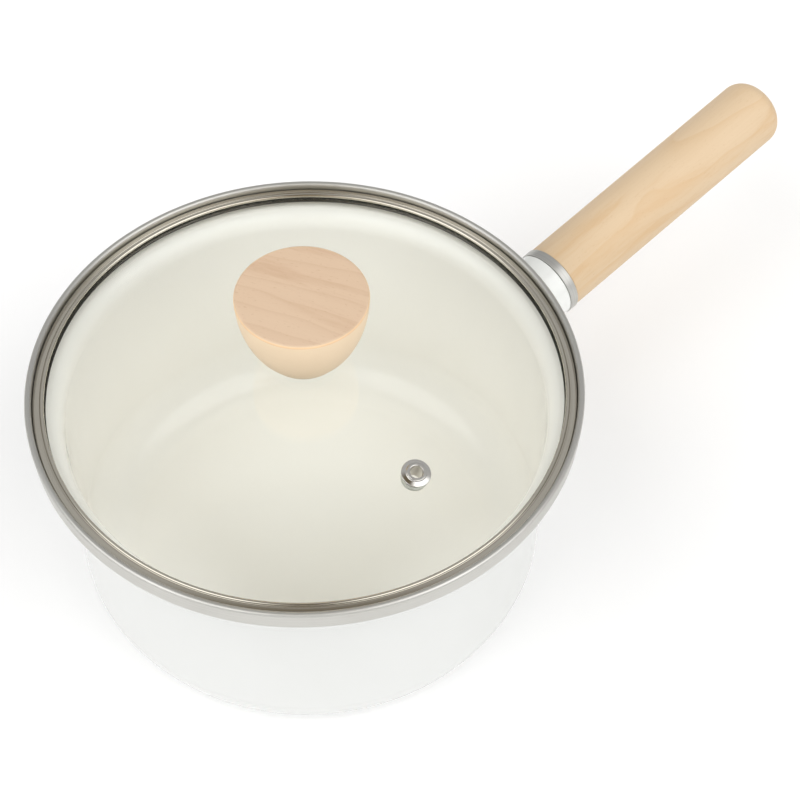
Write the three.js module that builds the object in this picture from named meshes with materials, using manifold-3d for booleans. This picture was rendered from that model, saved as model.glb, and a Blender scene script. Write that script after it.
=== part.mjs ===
// A saucepan with a glass lid: an enamelled steel pan with a steel-trimmed rim, a wooden
// handle screwed to a welded socket, and a domed glass lid with a steel band, a wooden knob
// and a steam vent.
//
// Millimetres, +Z up. The origin is the centre of the pan's underside, and the handle points
// along +X, a little uphill. Each mesh is one separate piece of the real object.

import * as THREE from 'three';
import { mergeVertices } from 'three/addons/utils/BufferGeometryUtils.js';
import Module from 'manifold-3d';

const wasm = await Module();
wasm.setup();

// ---------------------------------------------------------------- driving dimensions

const CRIMP_GAP = 0.1; // between coaxial rings that are crimped together
const FIT_GAP = 0.3; // between pieces that are screwed, pushed or rested together

const PAN = {
  wallRadius: 88, // outside of the straight wall
  height: 97.5, // underside to the widest line of the rim
  wall: 1, // steel sheet with its enamel
  cornerRadius: 19, // between the base and the wall
  rimOverhang: 12, // wall to the widest line of the rim
  seatDepth: 8.3, // the lid's seat below the widest line of the rim
  flareRadius: 6, // hollow curve from the wall to the underside of the seat
  lipCorner: 1.8, // outside radius between the seat and the upright lip
};

const TRIM = {
  sheet: 0.4,
  bead: 0.4, // how far the rolled top stands out past the skirt
  skirt: 6.4, // widest line to the bottom of the skirt
  innerLeg: 5, // widest line to the bottom of the inner leg
};

const LID = {
  clearance: 0.4, // between the band and the rim's trim, all round
  sheet: 0.4, // steel of the band
  bandWidth: 4, // from the band's outside to its inner lip
  bandCorner: 0.6, // outside corners of the band
  beadRadius: 1.1, // rolled inner edge that lies on the glass
  seal: 0.5, // wall of the seal between the glass and the band
  sealShow: 0.85, // how far the seal reaches inward past the band
  glass: 3.5,
  rise: 19, // edge to crown of the glass's top face
  knobHole: 4.2, // radius
};

const KNOB = {
  topRadius: 23.3,
  depth: 34.5, // vertical half-axis of the half-ellipsoid that the knob is cut from
  baseRadius: 13.5,
  chamfer: 0.8,
  gasket: 1.7, // between the knob and the glass
  gasketRadius: 12.5,
  grommet: 0.9, // flange of the grommet under the glass
  grommetRadius: 9,
  washer: 1,
  washerRadius: 8,
  screwRadius: 2, // M4
  screwEngagement: 13, // how far the screw reaches into the knob
  headRadius: 4.5,
  headHeight: 2.4,
  slotWidth: 1,
  slotDepth: 1.1,
  insertWall: 1.7,
  insertLength: 15,
};

const VENT = {
  reach: 61.3, // from the lid's axis, along the glass
  bearing: -94, // degrees from the handle, anticlockwise seen from above
  boreRadius: 2.3,
  tube: 0.6,
  flangeRadius: 5.2,
  flangeRim: 0.5, // height of the flange's outer edge
  flangeCrown: 1.5, // height of the raised ring round the bore
  sleeve: 0.7, // grommet wall in the glass
  grommet: 0.8, // grommet flange under the glass
  grommetRadius: 4.8,
  washer: 0.6,
  washerRadius: 4.6,
  flareRadius: 4, // end of the tube, spread over the washer
  flare: 0.6,
};

const HANDLE = {
  height: 46.5, // where the handle's axis meets the wall, above the underside
  riseAngle: 6.5, // degrees above level
  socketLength: 41.1, // wall to the socket's mouth
  socketRoot: 10.6, // radius at the wall
  socketSheet: 1.2,
  socketPlate: 3,
  ferruleLength: 3.6,
  ferruleProud: 0.35, // how far the ferrule stands out past the grip
  ferruleWall: 3,
  gripRadius: 14, // next to the ferrule, and of the socket's mouth
  gripSwell: 0.25, // how much thicker the grip is near its free end
  gripLength: 127, // ferrule to the free end
  endRadius: 7.3, // rounding of the free end
  studRadius: 3, // M6
  studEngagement: 18, // how far the stud reaches into the insert
  insertWall: 1.7,
  insertLength: 22,
  nutFlats: 10,
  nutHeight: 5,
};

const LARGE = 56; // facets round the pan and the lid
const MEDIUM = 36; // facets round the handle and the knob
const SMALL = 20; // facets round screws, inserts and the vent

// ---------------------------------------------------------------- derived dimensions

const rimRadius = PAN.wallRadius + PAN.rimOverhang;
const skirtRadius = rimRadius - TRIM.bead;
const lipOuter = skirtRadius - TRIM.sheet - CRIMP_GAP;
const lipInner = lipOuter - PAN.wall;
const trimInner = lipInner - CRIMP_GAP - TRIM.sheet;
const seatZ = PAN.height - PAN.seatDepth;

const bandOuter = trimInner - LID.clearance;
const bandLip = bandOuter - LID.bandWidth;
const bandBottom = seatZ + FIT_GAP;
const sealOuter = bandOuter - LID.sheet - CRIMP_GAP;
const sealInner = bandLip - LID.sealShow;
const sealBottom = bandBottom + LID.sheet + CRIMP_GAP;
const glassRadius = sealOuter - LID.seal - FIT_GAP;
const glassEdgeBottom = sealBottom + LID.seal + FIT_GAP;

const domeOuter = (glassRadius ** 2 + LID.rise ** 2) / (2 * LID.rise);
const domeInner = domeOuter - LID.glass;
const domeCentre = glassEdgeBottom - Math.sqrt(domeInner ** 2 - glassRadius ** 2);
const glassTop = (r) => domeCentre + Math.sqrt(domeOuter ** 2 - r ** 2);
const glassBottom = (r) => domeCentre + Math.sqrt(domeInner ** 2 - r ** 2);

const gasketBottom = glassTop(0) + CRIMP_GAP;
const knobBase = gasketBottom + KNOB.gasket + FIT_GAP;
const knobHeight = KNOB.depth * Math.sqrt(1 - (KNOB.baseRadius / KNOB.topRadius) ** 2);
const grommetTop = glassBottom(KNOB.grommetRadius) - FIT_GAP;
const washerTop = grommetTop - KNOB.grommet - CRIMP_GAP;
const headTop = washerTop - KNOB.washer - CRIMP_GAP;
const screwHole = KNOB.screwRadius + FIT_GAP;
const insertRadius = screwHole + KNOB.insertWall;

const socketMouthZ = HANDLE.socketLength;
const ferruleStart = socketMouthZ + FIT_GAP;
const ferruleEnd = ferruleStart + HANDLE.ferruleLength;
const gripShoulder = ferruleEnd + FIT_GAP;
const tenonStart = ferruleStart + FIT_GAP;
const ferruleRadius = HANDLE.gripRadius + HANDLE.ferruleProud;
const ferruleInner = ferruleRadius - HANDLE.ferruleWall;
const tenonRadius = ferruleInner - FIT_GAP;
const studHole = HANDLE.studRadius + FIT_GAP;
const handleInsertRadius = studHole + HANDLE.insertWall;
const insertStart = tenonStart + FIT_GAP;
const plateInside = socketMouthZ - HANDLE.socketPlate;
const nutTop = plateInside - FIT_GAP;

// ---------------------------------------------------------------- finishes

const enamel = { color: 0xf0f1ec, roughness: 0.18, metalness: 0 };
const brushedSteel = { color: 0xb4b3ad, roughness: 0.38, metalness: 1 };
const polishedSteel = { color: 0xc4c2bc, roughness: 0.12, metalness: 1 };
const zincSteel = { color: 0x9fa0a0, roughness: 0.45, metalness: 1 };
const brass = { color: 0xb9975a, roughness: 0.35, metalness: 1 };
const glass = { color: 0xe6efe9, roughness: 0.03, metalness: 0, transparent: true, opacity: 0.35 };
const darkSilicone = { color: 0x23231f, roughness: 0.6, metalness: 0 };
const clearSilicone = { color: 0xd8d8d2, roughness: 0.5, metalness: 0 };
const pine = { color: 0xe6cda4, roughness: 0.55, metalness: 0 };
const beech = { color: 0xe4c8a6, roughness: 0.55, metalness: 0 };

// ---------------------------------------------------------------- outline helpers

/** Points on an arc in the (radius, height) plane, from one angle to another in degrees. */
function arc(centreR, centreZ, radius, from, to, steps) {
  return Array.from({ length: steps + 1 }, (_, i) => {
    const angle = THREE.MathUtils.degToRad(from + ((to - from) * i) / steps);
    return [centreR + radius * Math.cos(angle), centreZ + radius * Math.sin(angle)];
  });
}

/** Unit vector to the left of the way from one point to the next. */
function leftNormal([r0, z0], [r1, z1]) {
  return new THREE.Vector2(z0 - z1, r1 - r0).normalize();
}

/** The path moved sideways to its left by a distance, with mitred corners. */
function offsetPath(path, distance) {
  return path.map((point, i) => {
    const before = leftNormal(path[Math.max(i - 1, 0)], path[Math.max(i, 1)]);
    const after = leftNormal(path[Math.min(i, path.length - 2)], path[Math.min(i + 1, path.length - 1)]);
    const mitre = before.clone().add(after).normalize();
    const reach = distance / mitre.dot(after);
    return [point[0] + mitre.x * reach, point[1] + mitre.y * reach];
  });
}

/** Section of a bent sheet whose outer face follows the path and whose wall lies to its left. */
function sheetOutline(path, thickness) {
  return [...path, ...offsetPath(path, thickness).reverse()];
}

// ---------------------------------------------------------------- solid helpers

/** A geometry with shared positions only, which is what a closed body needs. */
function welded(geometry) {
  const bare = geometry.clone();
  bare.deleteAttribute('normal');
  bare.deleteAttribute('uv');
  return mergeVertices(bare, 1e-4);
}

/** Spin an outline of [radius, height] points round Z. A ring's outline closes on itself. */
function revolve(outline, facets) {
  const points = outline.map(([r, z]) => new THREE.Vector2(Math.max(r, 0), z));
  const open = points[0].x === 0 && points[points.length - 1].x === 0;
  if (!open) points.push(points[0].clone());
  return welded(new THREE.LatheGeometry(points, facets).rotateX(Math.PI / 2));
}

/** A plain tube or disc: the ring between two radii and two heights. */
function ring(inner, outer, bottom, top, facets) {
  return revolve([[inner, bottom], [outer, bottom], [outer, top], [inner, top]], facets);
}

/** A round bar standing on the axis. */
function rod(radius, bottom, top, facets) {
  return revolve([[0, bottom], [radius, bottom], [radius, top], [0, top]], facets);
}

/** A geometry as a manifold solid. */
function toSolid(geometry) {
  const mesh = welded(geometry);
  return new wasm.Manifold(new wasm.Mesh({
    numProp: 3,
    vertProperties: new Float32Array(mesh.attributes.position.array),
    triVerts: new Uint32Array(mesh.index.array),
  }));
}

/** The first geometry less all the others. */
function cut(geometry, ...tools) {
  const solid = tools.reduce((left, tool) => left.subtract(toSolid(tool)), toSolid(geometry));
  const { vertProperties, triVerts } = solid.getMesh();
  const result = new THREE.BufferGeometry();
  result.setAttribute('position', new THREE.BufferAttribute(new Float32Array(vertProperties), 3));
  result.setIndex(new THREE.BufferAttribute(new Uint32Array(triVerts), 1));
  return result;
}

/** One named piece of the object. */
function piece(name, geometry, finish) {
  const mesh = new THREE.Mesh(geometry, new THREE.MeshStandardMaterial(finish));
  mesh.name = name;
  return mesh;
}

// ---------------------------------------------------------------- pan

/** Deep-drawn pan: flat base, rounded corner, straight wall, flared seat and an upright lip. */
function panBody() {
  const flareR = PAN.wallRadius + PAN.flareRadius;
  const seatUnder = seatZ - PAN.wall;
  const outside = [
    [0, 0],
    ...arc(PAN.wallRadius - PAN.cornerRadius, PAN.cornerRadius, PAN.cornerRadius, -90, 0, 7),
    ...arc(flareR, seatUnder - PAN.flareRadius, PAN.flareRadius, 180, 90, 4),
    ...arc(lipOuter - PAN.lipCorner, seatUnder + PAN.lipCorner, PAN.lipCorner, -90, 0, 2),
    [lipOuter, PAN.height - CRIMP_GAP],
  ];
  return piece('pan_body', revolve(sheetOutline(outside, PAN.wall), LARGE), enamel);
}

/** Steel trim rolled over the pan's lip: a skirt outside, a bead on top and a leg inside. */
function rimTrim() {
  const radius = (rimRadius - trimInner) / 2;
  const centre = rimRadius - radius;
  const skirtAngle = -THREE.MathUtils.radToDeg(Math.acos((skirtRadius - centre) / radius));
  const outside = [
    [skirtRadius, PAN.height - TRIM.skirt],
    ...arc(centre, PAN.height, radius, skirtAngle, 180, 6),
    [trimInner, PAN.height - TRIM.innerLeg],
  ];
  return piece('rim_trim', revolve(sheetOutline(outside, TRIM.sheet), LARGE), brushedSteel);
}

// ---------------------------------------------------------------- handle

/** Turns the local +Z axis into the handle's axis, starting at the pan's wall. */
function handlePose() {
  const group = new THREE.Group();
  group.position.set(PAN.wallRadius, 0, HANDLE.height);
  group.rotation.y = THREE.MathUtils.degToRad(90 - HANDLE.riseAngle);
  group.updateMatrix();
  return group;
}

/** Enamelled cone welded to the wall, with a drilled plate across its mouth. */
function handleSocket(pose) {
  const root = -HANDLE.socketRoot; // far enough into the wall to be cut to its curve
  const slope = (HANDLE.gripRadius - HANDLE.socketRoot) / HANDLE.socketLength;
  const outerAt = (s) => HANDLE.socketRoot + slope * s;
  const innerAt = (s) => outerAt(s) - HANDLE.socketSheet;
  const cone = revolve([
    [studHole, plateInside],
    [innerAt(plateInside), plateInside],
    [innerAt(root), root],
    [outerAt(root), root],
    [HANDLE.gripRadius, socketMouthZ],
    [studHole, socketMouthZ],
  ], MEDIUM).applyMatrix4(pose.matrix);
  const wall = rod(PAN.wallRadius + FIT_GAP, 0, PAN.height, LARGE);
  return piece('handle_socket', cut(cone, wall), enamel);
}

/** Hexagon nut inside the socket, welded to its plate. */
function socketNut() {
  const corner = HANDLE.nutFlats / 2 / Math.cos(Math.PI / 6);
  const shape = new THREE.Shape();
  for (let i = 0; i < 6; i += 1) {
    const angle = (i * Math.PI) / 3;
    const point = [corner * Math.cos(angle), corner * Math.sin(angle)];
    if (i === 0) shape.moveTo(...point);
    else shape.lineTo(...point);
  }
  shape.closePath();
  const hole = new THREE.Path().absarc(0, 0, studHole, 0, 2 * Math.PI, true);
  shape.holes.push(hole);
  const options = { depth: HANDLE.nutHeight, bevelEnabled: false, curveSegments: SMALL };
  const geometry = welded(new THREE.ExtrudeGeometry(shape, options));
  geometry.translate(0, 0, nutTop - HANDLE.nutHeight);
  return piece('socket_nut', geometry, zincSteel);
}

/** Threaded stud from the nut to the insert in the grip. */
function handleStud() {
  const start = nutTop - HANDLE.nutHeight - HANDLE.studRadius / 2;
  const end = insertStart + HANDLE.studEngagement;
  const tip = HANDLE.studRadius / 4;
  const outline = [
    [0, start],
    [HANDLE.studRadius - tip, start],
    [HANDLE.studRadius, start + tip],
    [HANDLE.studRadius, end - tip],
    [HANDLE.studRadius - tip, end],
    [0, end],
  ];
  return piece('handle_stud', revolve(outline, SMALL), zincSteel);
}

/** Steel ring between the socket and the grip, round the grip's tenon. */
function ferruleRing() {
  const edge = HANDLE.ferruleWall / 5;
  const outline = [
    [ferruleInner, ferruleStart],
    ...arc(ferruleRadius - edge, ferruleStart + edge, edge, -90, 0, 2),
    ...arc(ferruleRadius - edge, ferruleEnd - edge, edge, 0, 90, 2),
    [ferruleInner, ferruleEnd],
  ];
  return piece('ferrule_ring', revolve(outline, MEDIUM), brushedSteel);
}

/** Turned wooden grip with a tenon in the ferrule, a bore for the insert and a rounded end. */
function handleGrip() {
  const end = ferruleEnd + HANDLE.gripLength;
  const endCentre = HANDLE.gripRadius + HANDLE.gripSwell - HANDLE.endRadius;
  const bore = handleInsertRadius + FIT_GAP;
  const boreEnd = insertStart + HANDLE.insertLength + FIT_GAP;
  const outline = [
    [0, boreEnd],
    [bore, boreEnd],
    [bore, tenonStart],
    [tenonRadius, tenonStart],
    [tenonRadius, gripShoulder],
    [HANDLE.gripRadius, gripShoulder],
    ...arc(endCentre, end - HANDLE.endRadius, HANDLE.endRadius, 0, 90, 5),
    [0, end],
  ];
  return piece('handle_grip', revolve(outline, MEDIUM), pine);
}

/** Threaded brass insert in the end of the grip. */
function handleInsert() {
  const end = insertStart + HANDLE.insertLength;
  return piece('handle_insert', ring(studHole, handleInsertRadius, insertStart, end, SMALL), brass);
}

/** Everything on the handle's own axis. The socket is cut to the wall, so it stands apart. */
function handle() {
  const group = handlePose();
  group.add(socketNut(), handleStud(), ferruleRing(), handleGrip(), handleInsert());
  return group;
}

// ---------------------------------------------------------------- lid

/** Polished steel band, bent round the seal and the edge of the glass. */
function lidBand() {
  const corner = LID.bandCorner;
  const lipZ = glassTop(bandLip) + FIT_GAP;
  const hemZ = glassTop(glassRadius) + FIT_GAP + LID.sheet + LID.beadRadius * 1.2;
  const outside = [
    [bandLip, bandBottom],
    ...arc(bandOuter - corner, bandBottom + corner, corner, -90, 0, 2),
    ...arc(bandOuter - corner, hemZ - corner, corner, 0, 70, 2),
    ...arc(bandLip + LID.beadRadius, lipZ, LID.beadRadius, 20, 180, 5),
  ];
  return piece('lid_band', revolve(sheetOutline(outside, LID.sheet), LARGE), polishedSteel);
}

/** Dark seal under and round the edge of the glass. */
function lidSeal() {
  const wallInner = sealOuter - LID.seal;
  const leafTop = sealBottom + LID.seal;
  const outline = [
    [sealInner, sealBottom],
    [sealOuter, sealBottom],
    [sealOuter, glassTop(glassRadius)],
    [wallInner, glassTop(glassRadius)],
    [wallInner, leafTop],
    [sealInner, leafTop],
  ];
  return piece('lid_seal', revolve(outline, LARGE), darkSilicone);
}

/** The vent's own frame: on the glass's top face, with +Z square to the glass. */
function ventPose() {
  const bearing = THREE.MathUtils.degToRad(VENT.bearing);
  const group = new THREE.Group();
  const x = VENT.reach * Math.cos(bearing);
  const y = VENT.reach * Math.sin(bearing);
  group.position.set(x, y, glassTop(VENT.reach));
  const normal = new THREE.Vector3(x, y, glassTop(VENT.reach) - domeCentre).normalize();
  group.quaternion.setFromUnitVectors(new THREE.Vector3(0, 0, 1), normal);
  group.updateMatrix();
  return group;
}

const ventTube = VENT.boreRadius + VENT.tube;
const ventSleeveInner = ventTube + FIT_GAP;
const ventSleeveOuter = ventSleeveInner + VENT.sleeve;
const ventHole = ventSleeveOuter + FIT_GAP;

/** Tempered glass dome with a hole for the knob's screw and one for the vent. */
function lidGlass(vent) {
  const rimAngle = THREE.MathUtils.radToDeg(Math.acos(glassRadius / domeOuter));
  const rimAngleInner = THREE.MathUtils.radToDeg(Math.acos(glassRadius / domeInner));
  const outline = [
    ...arc(0, domeCentre, domeInner, 90, rimAngleInner, 6),
    ...arc(0, domeCentre, domeOuter, rimAngle, 90, 6),
  ];
  outline[0][0] = 0;
  outline[outline.length - 1][0] = 0;
  const dome = revolve(outline, LARGE);
  const through = LID.glass * 2;
  const knobHole = rod(LID.knobHole, glassTop(0) - through, glassTop(0) + through, SMALL);
  const steamHole = rod(ventHole, -through, through, SMALL).applyMatrix4(vent.matrix);
  return piece('lid_glass', cut(dome, knobHole, steamHole), glass);
}

/** Wooden knob: a flat-topped half-ellipsoid with a blind bore for its insert. */
function knobGrip() {
  const top = knobBase + knobHeight;
  const sideSteps = 8;
  const bore = insertRadius + FIT_GAP;
  const boreEnd = knobBase + KNOB.insertLength + 2 * FIT_GAP;
  const side = Array.from({ length: sideSteps + 1 }, (_, i) => {
    const z = knobHeight - (i / sideSteps) * (knobHeight - KNOB.chamfer);
    return [KNOB.topRadius * Math.sqrt(1 - (z / KNOB.depth) ** 2), top - z];
  });
  const outline = [
    [0, boreEnd],
    [bore, boreEnd],
    [bore, knobBase],
    ...side,
    [side[sideSteps][0] - KNOB.chamfer, top],
    [0, top],
  ];
  return piece('knob_grip', revolve(outline, MEDIUM), beech);
}

/** Threaded brass insert in the knob. */
function knobInsert() {
  const bottom = knobBase + FIT_GAP;
  const geometry = ring(screwHole, insertRadius, bottom, bottom + KNOB.insertLength, SMALL);
  return piece('knob_insert', geometry, brass);
}

/** Soft disc between the knob and the glass. */
function knobGasket() {
  const top = gasketBottom + KNOB.gasket;
  const geometry = ring(screwHole, KNOB.gasketRadius, gasketBottom, top, SMALL);
  return piece('knob_gasket', geometry, clearSilicone);
}

/** Grommet with a flange under the glass and a sleeve in the glass's hole. */
function knobGrommet() {
  const sleeve = LID.knobHole - FIT_GAP;
  const outline = [
    [screwHole, grommetTop - KNOB.grommet],
    [KNOB.grommetRadius, grommetTop - KNOB.grommet],
    [KNOB.grommetRadius, grommetTop],
    [sleeve, grommetTop],
    [sleeve, glassTop(LID.knobHole)],
    [screwHole, glassTop(LID.knobHole)],
  ];
  return piece('knob_grommet', revolve(outline, SMALL), clearSilicone);
}

/** Steel washer under the grommet. */
function knobWasher() {
  const geometry = ring(screwHole, KNOB.washerRadius, washerTop - KNOB.washer, washerTop, SMALL);
  return piece('knob_washer', geometry, brushedSteel);
}

/** Slotted screw that draws the knob down onto the glass. */
function knobScrew() {
  const end = knobBase + KNOB.screwEngagement;
  const bottom = headTop - KNOB.headHeight;
  const edge = KNOB.headHeight / 2;
  const screw = revolve([
    [0, bottom],
    [KNOB.headRadius - edge, bottom],
    [KNOB.headRadius, bottom + edge],
    [KNOB.headRadius, headTop],
    [KNOB.screwRadius, headTop],
    [KNOB.screwRadius, end],
    [0, end],
  ], SMALL);
  const slot = new THREE.BoxGeometry(KNOB.headRadius * 3, KNOB.slotWidth, KNOB.slotDepth * 2);
  slot.translate(0, 0, bottom);
  return piece('knob_screw', cut(screw, slot), brushedSteel);
}

/** Steel eyelet with a stepped flange on the glass and its tube spread under the washer. */
function ventEyelet(washerBottom) {
  const end = washerBottom - FIT_GAP - VENT.flare;
  const stepRadius = (VENT.flangeRadius + ventTube) / 2;
  const geometry = revolve([
    [VENT.boreRadius, end],
    [VENT.flareRadius, end],
    [VENT.flareRadius, end + VENT.flare],
    [ventTube, end + VENT.flare],
    [ventTube, FIT_GAP],
    [VENT.flangeRadius, FIT_GAP],
    [VENT.flangeRadius, FIT_GAP + VENT.flangeRim],
    [stepRadius, (VENT.flangeCrown + VENT.flangeRim + FIT_GAP) / 2],
    [ventTube + VENT.tube / 2, VENT.flangeCrown],
    [VENT.boreRadius + VENT.tube / 2, VENT.flangeCrown],
    [VENT.boreRadius, VENT.flangeCrown - VENT.tube / 2],
  ], SMALL);
  return piece('vent_eyelet', geometry, polishedSteel);
}

/** Grommet round the eyelet's tube: a sleeve in the glass and a flange under it. */
function ventGrommet(flangeTop) {
  const geometry = revolve([
    [ventSleeveInner, flangeTop - VENT.grommet],
    [VENT.grommetRadius, flangeTop - VENT.grommet],
    [VENT.grommetRadius, flangeTop],
    [ventSleeveOuter, flangeTop],
    [ventSleeveOuter, 0],
    [ventSleeveInner, 0],
  ], SMALL);
  return piece('vent_grommet', geometry, clearSilicone);
}

/** Steel washer between the grommet and the spread end of the eyelet. */
function ventWasher(top) {
  const geometry = ring(ventSleeveInner, VENT.washerRadius, top - VENT.washer, top, SMALL);
  return piece('vent_washer', geometry, brushedSteel);
}

/** The glass, the parts clamped to its crown and the vent through its side. */
function lid() {
  const vent = ventPose();
  const grommetFlangeTop = -LID.glass - FIT_GAP;
  const washerFace = grommetFlangeTop - VENT.grommet - FIT_GAP;
  vent.add(
    ventEyelet(washerFace - VENT.washer),
    ventGrommet(grommetFlangeTop),
    ventWasher(washerFace),
  );
  const group = new THREE.Group();
  group.add(lidGlass(vent), knobGrip(), knobInsert(), knobGasket());
  group.add(knobGrommet(), knobWasher(), knobScrew(), vent);
  return group;
}

// ---------------------------------------------------------------- assembly

const saucepan = new THREE.Group();
saucepan.add(panBody(), rimTrim(), handleSocket(handlePose()), handle());
saucepan.add(lidBand(), lidSeal(), lid());

export default saucepan;
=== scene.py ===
# %% [markdown]
# # A saucepan with a glass lid
#
# This file builds the looks of an enamelled saucepan in Blender, around a CAD frame. The
# frame says how large every piece is and how the lid moves. Everything here is a surface
# worked out with numpy, a finish written as shader maths, or a lamp.
#
# The frame is loaded first.

# %% Load the frame
import math

import bmesh
import bpy
import numpy as np
from mathutils import Matrix, Vector


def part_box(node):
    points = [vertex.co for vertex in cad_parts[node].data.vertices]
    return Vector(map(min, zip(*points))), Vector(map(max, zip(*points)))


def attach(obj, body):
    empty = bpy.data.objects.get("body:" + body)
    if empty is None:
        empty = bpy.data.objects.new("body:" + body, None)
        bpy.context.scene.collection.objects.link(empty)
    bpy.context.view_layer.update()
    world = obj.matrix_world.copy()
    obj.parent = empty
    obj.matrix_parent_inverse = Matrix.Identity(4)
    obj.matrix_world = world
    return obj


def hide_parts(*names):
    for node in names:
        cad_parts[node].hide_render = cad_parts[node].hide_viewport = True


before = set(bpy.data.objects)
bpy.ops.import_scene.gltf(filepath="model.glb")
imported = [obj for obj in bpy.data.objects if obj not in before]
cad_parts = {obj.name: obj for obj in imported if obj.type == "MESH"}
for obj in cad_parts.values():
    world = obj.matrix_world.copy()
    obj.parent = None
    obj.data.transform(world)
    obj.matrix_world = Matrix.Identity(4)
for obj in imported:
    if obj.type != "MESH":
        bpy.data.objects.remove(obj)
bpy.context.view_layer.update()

# %% [markdown]
# ## Sizes
#
# A turned piece is known by its largest radius and by its lowest and highest points, and
# the frame gives those for every node. What a box can't tell, such as the wall's thickness
# or the handle's slope, is a named value in metres, the same as in the CAD source.

# %% Read radii and heights from the frame
MM = 0.001


def low(node):
    """Lowest height of a node."""
    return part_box(node)[0].z


def high(node):
    """Highest height of a node."""
    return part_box(node)[1].z


def radius(node):
    """Largest radius of a node that is turned round the pan's axis."""
    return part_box(node)[1].y


WALL_RADIUS = 88 * MM
SHEET = 1 * MM
CORNER = 19 * MM
FLARE = 6 * MM
LIP_CORNER = 1.8 * MM
TRIM_SHEET = 0.4 * MM
TRIM_BEAD = 0.4 * MM
CRIMP = 0.1 * MM
FIT = 0.3 * MM

rim_radius = WALL_RADIUS + 12 * MM
rim_height = low("rim_trim") + 6.4 * MM
lip_radius = radius("pan_body")
print("rim radius", round(rim_radius, 4), "rim height", round(rim_height, 4))

# %% [markdown]
# ## The camera
#
# The camera comes first, because it decides what every later look is judged by. It is a long
# 90 mm lens from about 70 cm, looking steeply down, so the rim is a wide ellipse and the
# wall below it is short. It looks at a point on the rim's plane, and leans by under a degree.

# %% Place the camera
VIEW_BEARING = math.radians(45.7)
VIEW_SLOPE = math.radians(51.36)
VIEW_DISTANCE = 0.711
VIEW_LEAN = math.radians(0.73)
VIEW_ASIDE = Vector((33.9 * MM, -8.0 * MM))

away = Vector((math.cos(VIEW_BEARING), math.sin(VIEW_BEARING), 0))
right = Vector((away.y, -away.x, 0))
forward = away * math.cos(VIEW_SLOPE) - Vector((0, 0, math.sin(VIEW_SLOPE)))
up = right.cross(forward)
target = Vector((0, 0, rim_height)) + right * VIEW_ASIDE.x + away * VIEW_ASIDE.y

camera_data = bpy.data.cameras.new("camera")
camera_data.lens = 90
camera_data.sensor_width = 36
camera = bpy.data.objects.new("camera", camera_data)
bpy.context.scene.collection.objects.link(camera)
turned_right = right * math.cos(VIEW_LEAN) + up * math.sin(VIEW_LEAN)
turned_up = up * math.cos(VIEW_LEAN) - right * math.sin(VIEW_LEAN)
turn = Matrix((turned_right, turned_up, -forward)).transposed().to_4x4()
camera.matrix_world = Matrix.Translation(target - forward * VIEW_DISTANCE) @ turn
bpy.context.scene.camera = camera
bpy.context.scene.view_settings.view_transform = "Standard"
print("camera at", [round(c, 3) for c in camera.location])

# %% [markdown]
# ## Sections
#
# Most pieces of a saucepan are turned or spun, so each is a section in the (radius, height)
# plane carried round an axis. Two helpers draw the sections. `outline` takes a few corners,
# each with the radius of its rounding, and gives back a smooth line: a real edge is never
# quite sharp, and the thin highlight along it is what tells the eye that it is real.
# `sheet` takes one face of a bent strip of metal and gives back the whole strip, with both
# of its edges rounded.

# %% Draw a rounded outline
ARC_STEP = math.radians(9)
HOLD = 0.15 * MM  # how close the flat beside a rounding is pinned, so that it shades flat


def arc(centre_r, centre_z, size, start, end, step=ARC_STEP):
    """Points on a circle, from one angle in degrees to another."""
    count = max(2, math.ceil(abs(math.radians(end - start)) / step) + 1)
    angle = np.radians(np.linspace(start, end, count))
    return np.column_stack([centre_r + size * np.cos(angle), centre_z + size * np.sin(angle)])


def outline(*corners):
    """A line through corners of (radius, height, rounding). A corner of rounding f becomes the
    arc of radius f that touches both of its sides, f / tan(half the corner's angle) from it."""
    points = np.array([corner[:2] for corner in corners], float)
    line = [points[:1]]
    for before, here, after, size in zip(points, points[1:], points[2:], [c[2] for c in corners[1:]]):
        back = (before - here) / np.linalg.norm(before - here)
        on = (after - here) / np.linalg.norm(after - here)
        half = math.acos(np.clip(back @ on, -1, 1)) / 2
        if size == 0 or half > math.pi / 2 - 1e-6:
            line.append(here[None])
            continue
        reach = size / math.tan(half)
        middle = (back + on) / np.linalg.norm(back + on)
        centre = here + middle * size / math.sin(half)
        turn = np.linspace(-1, 1, max(3, math.ceil((math.pi - 2 * half) / ARC_STEP) + 1))
        swing = turn * (math.pi / 2 - half)
        side = (on - back) / np.linalg.norm(on - back)
        curve = centre - size * np.cos(swing)[:, None] * middle + size * np.sin(swing)[:, None] * side
        line += [here + back * (reach + HOLD), curve, here + on * (reach + HOLD)]
    line.append(points[-1:])
    return np.vstack(line)


def closed(*corners):
    """The outline of a ring, which comes back to its first corner."""
    return outline(*corners, corners[0])[:-1]


def sheet(path, thickness):
    """A bent strip: the path, a half-round edge, the path moved by the thickness to its left, and
    the other half-round edge. Left is the path's direction turned by a quarter."""
    along = np.gradient(path, axis=0)
    along /= np.linalg.norm(along, axis=1)[:, None]
    left = np.column_stack([-along[:, 1], along[:, 0]])
    inner = path + left * thickness
    swing = np.radians(np.linspace(-90, 90, 7))[1:-1, None]

    def edge(end, way, side):
        middle = end + side * thickness / 2
        return middle + (way * np.cos(swing) + side * np.sin(swing)) * thickness / 2

    far = edge(path[-1], along[-1], left[-1])
    near = edge(path[0], -along[0], left[0])[::-1]
    return np.vstack([path, far, inner[::-1], near])


print("helpers for sections: arc, outline, closed, sheet")

# %% [markdown]
# ## Surfaces
#
# `grid_mesh` turns a grid of points into a mesh. Its columns go round and always close on
# themselves. Its rows close as well on a ring, such as a washer, and on a solid piece they
# end in a pole, which is one vertex with a fan of triangles. The triangles and squares are
# numbered as whole arrays. `spin` is the commonest grid, the section carried round an axis,
# and `Place` says where that axis is.

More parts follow.
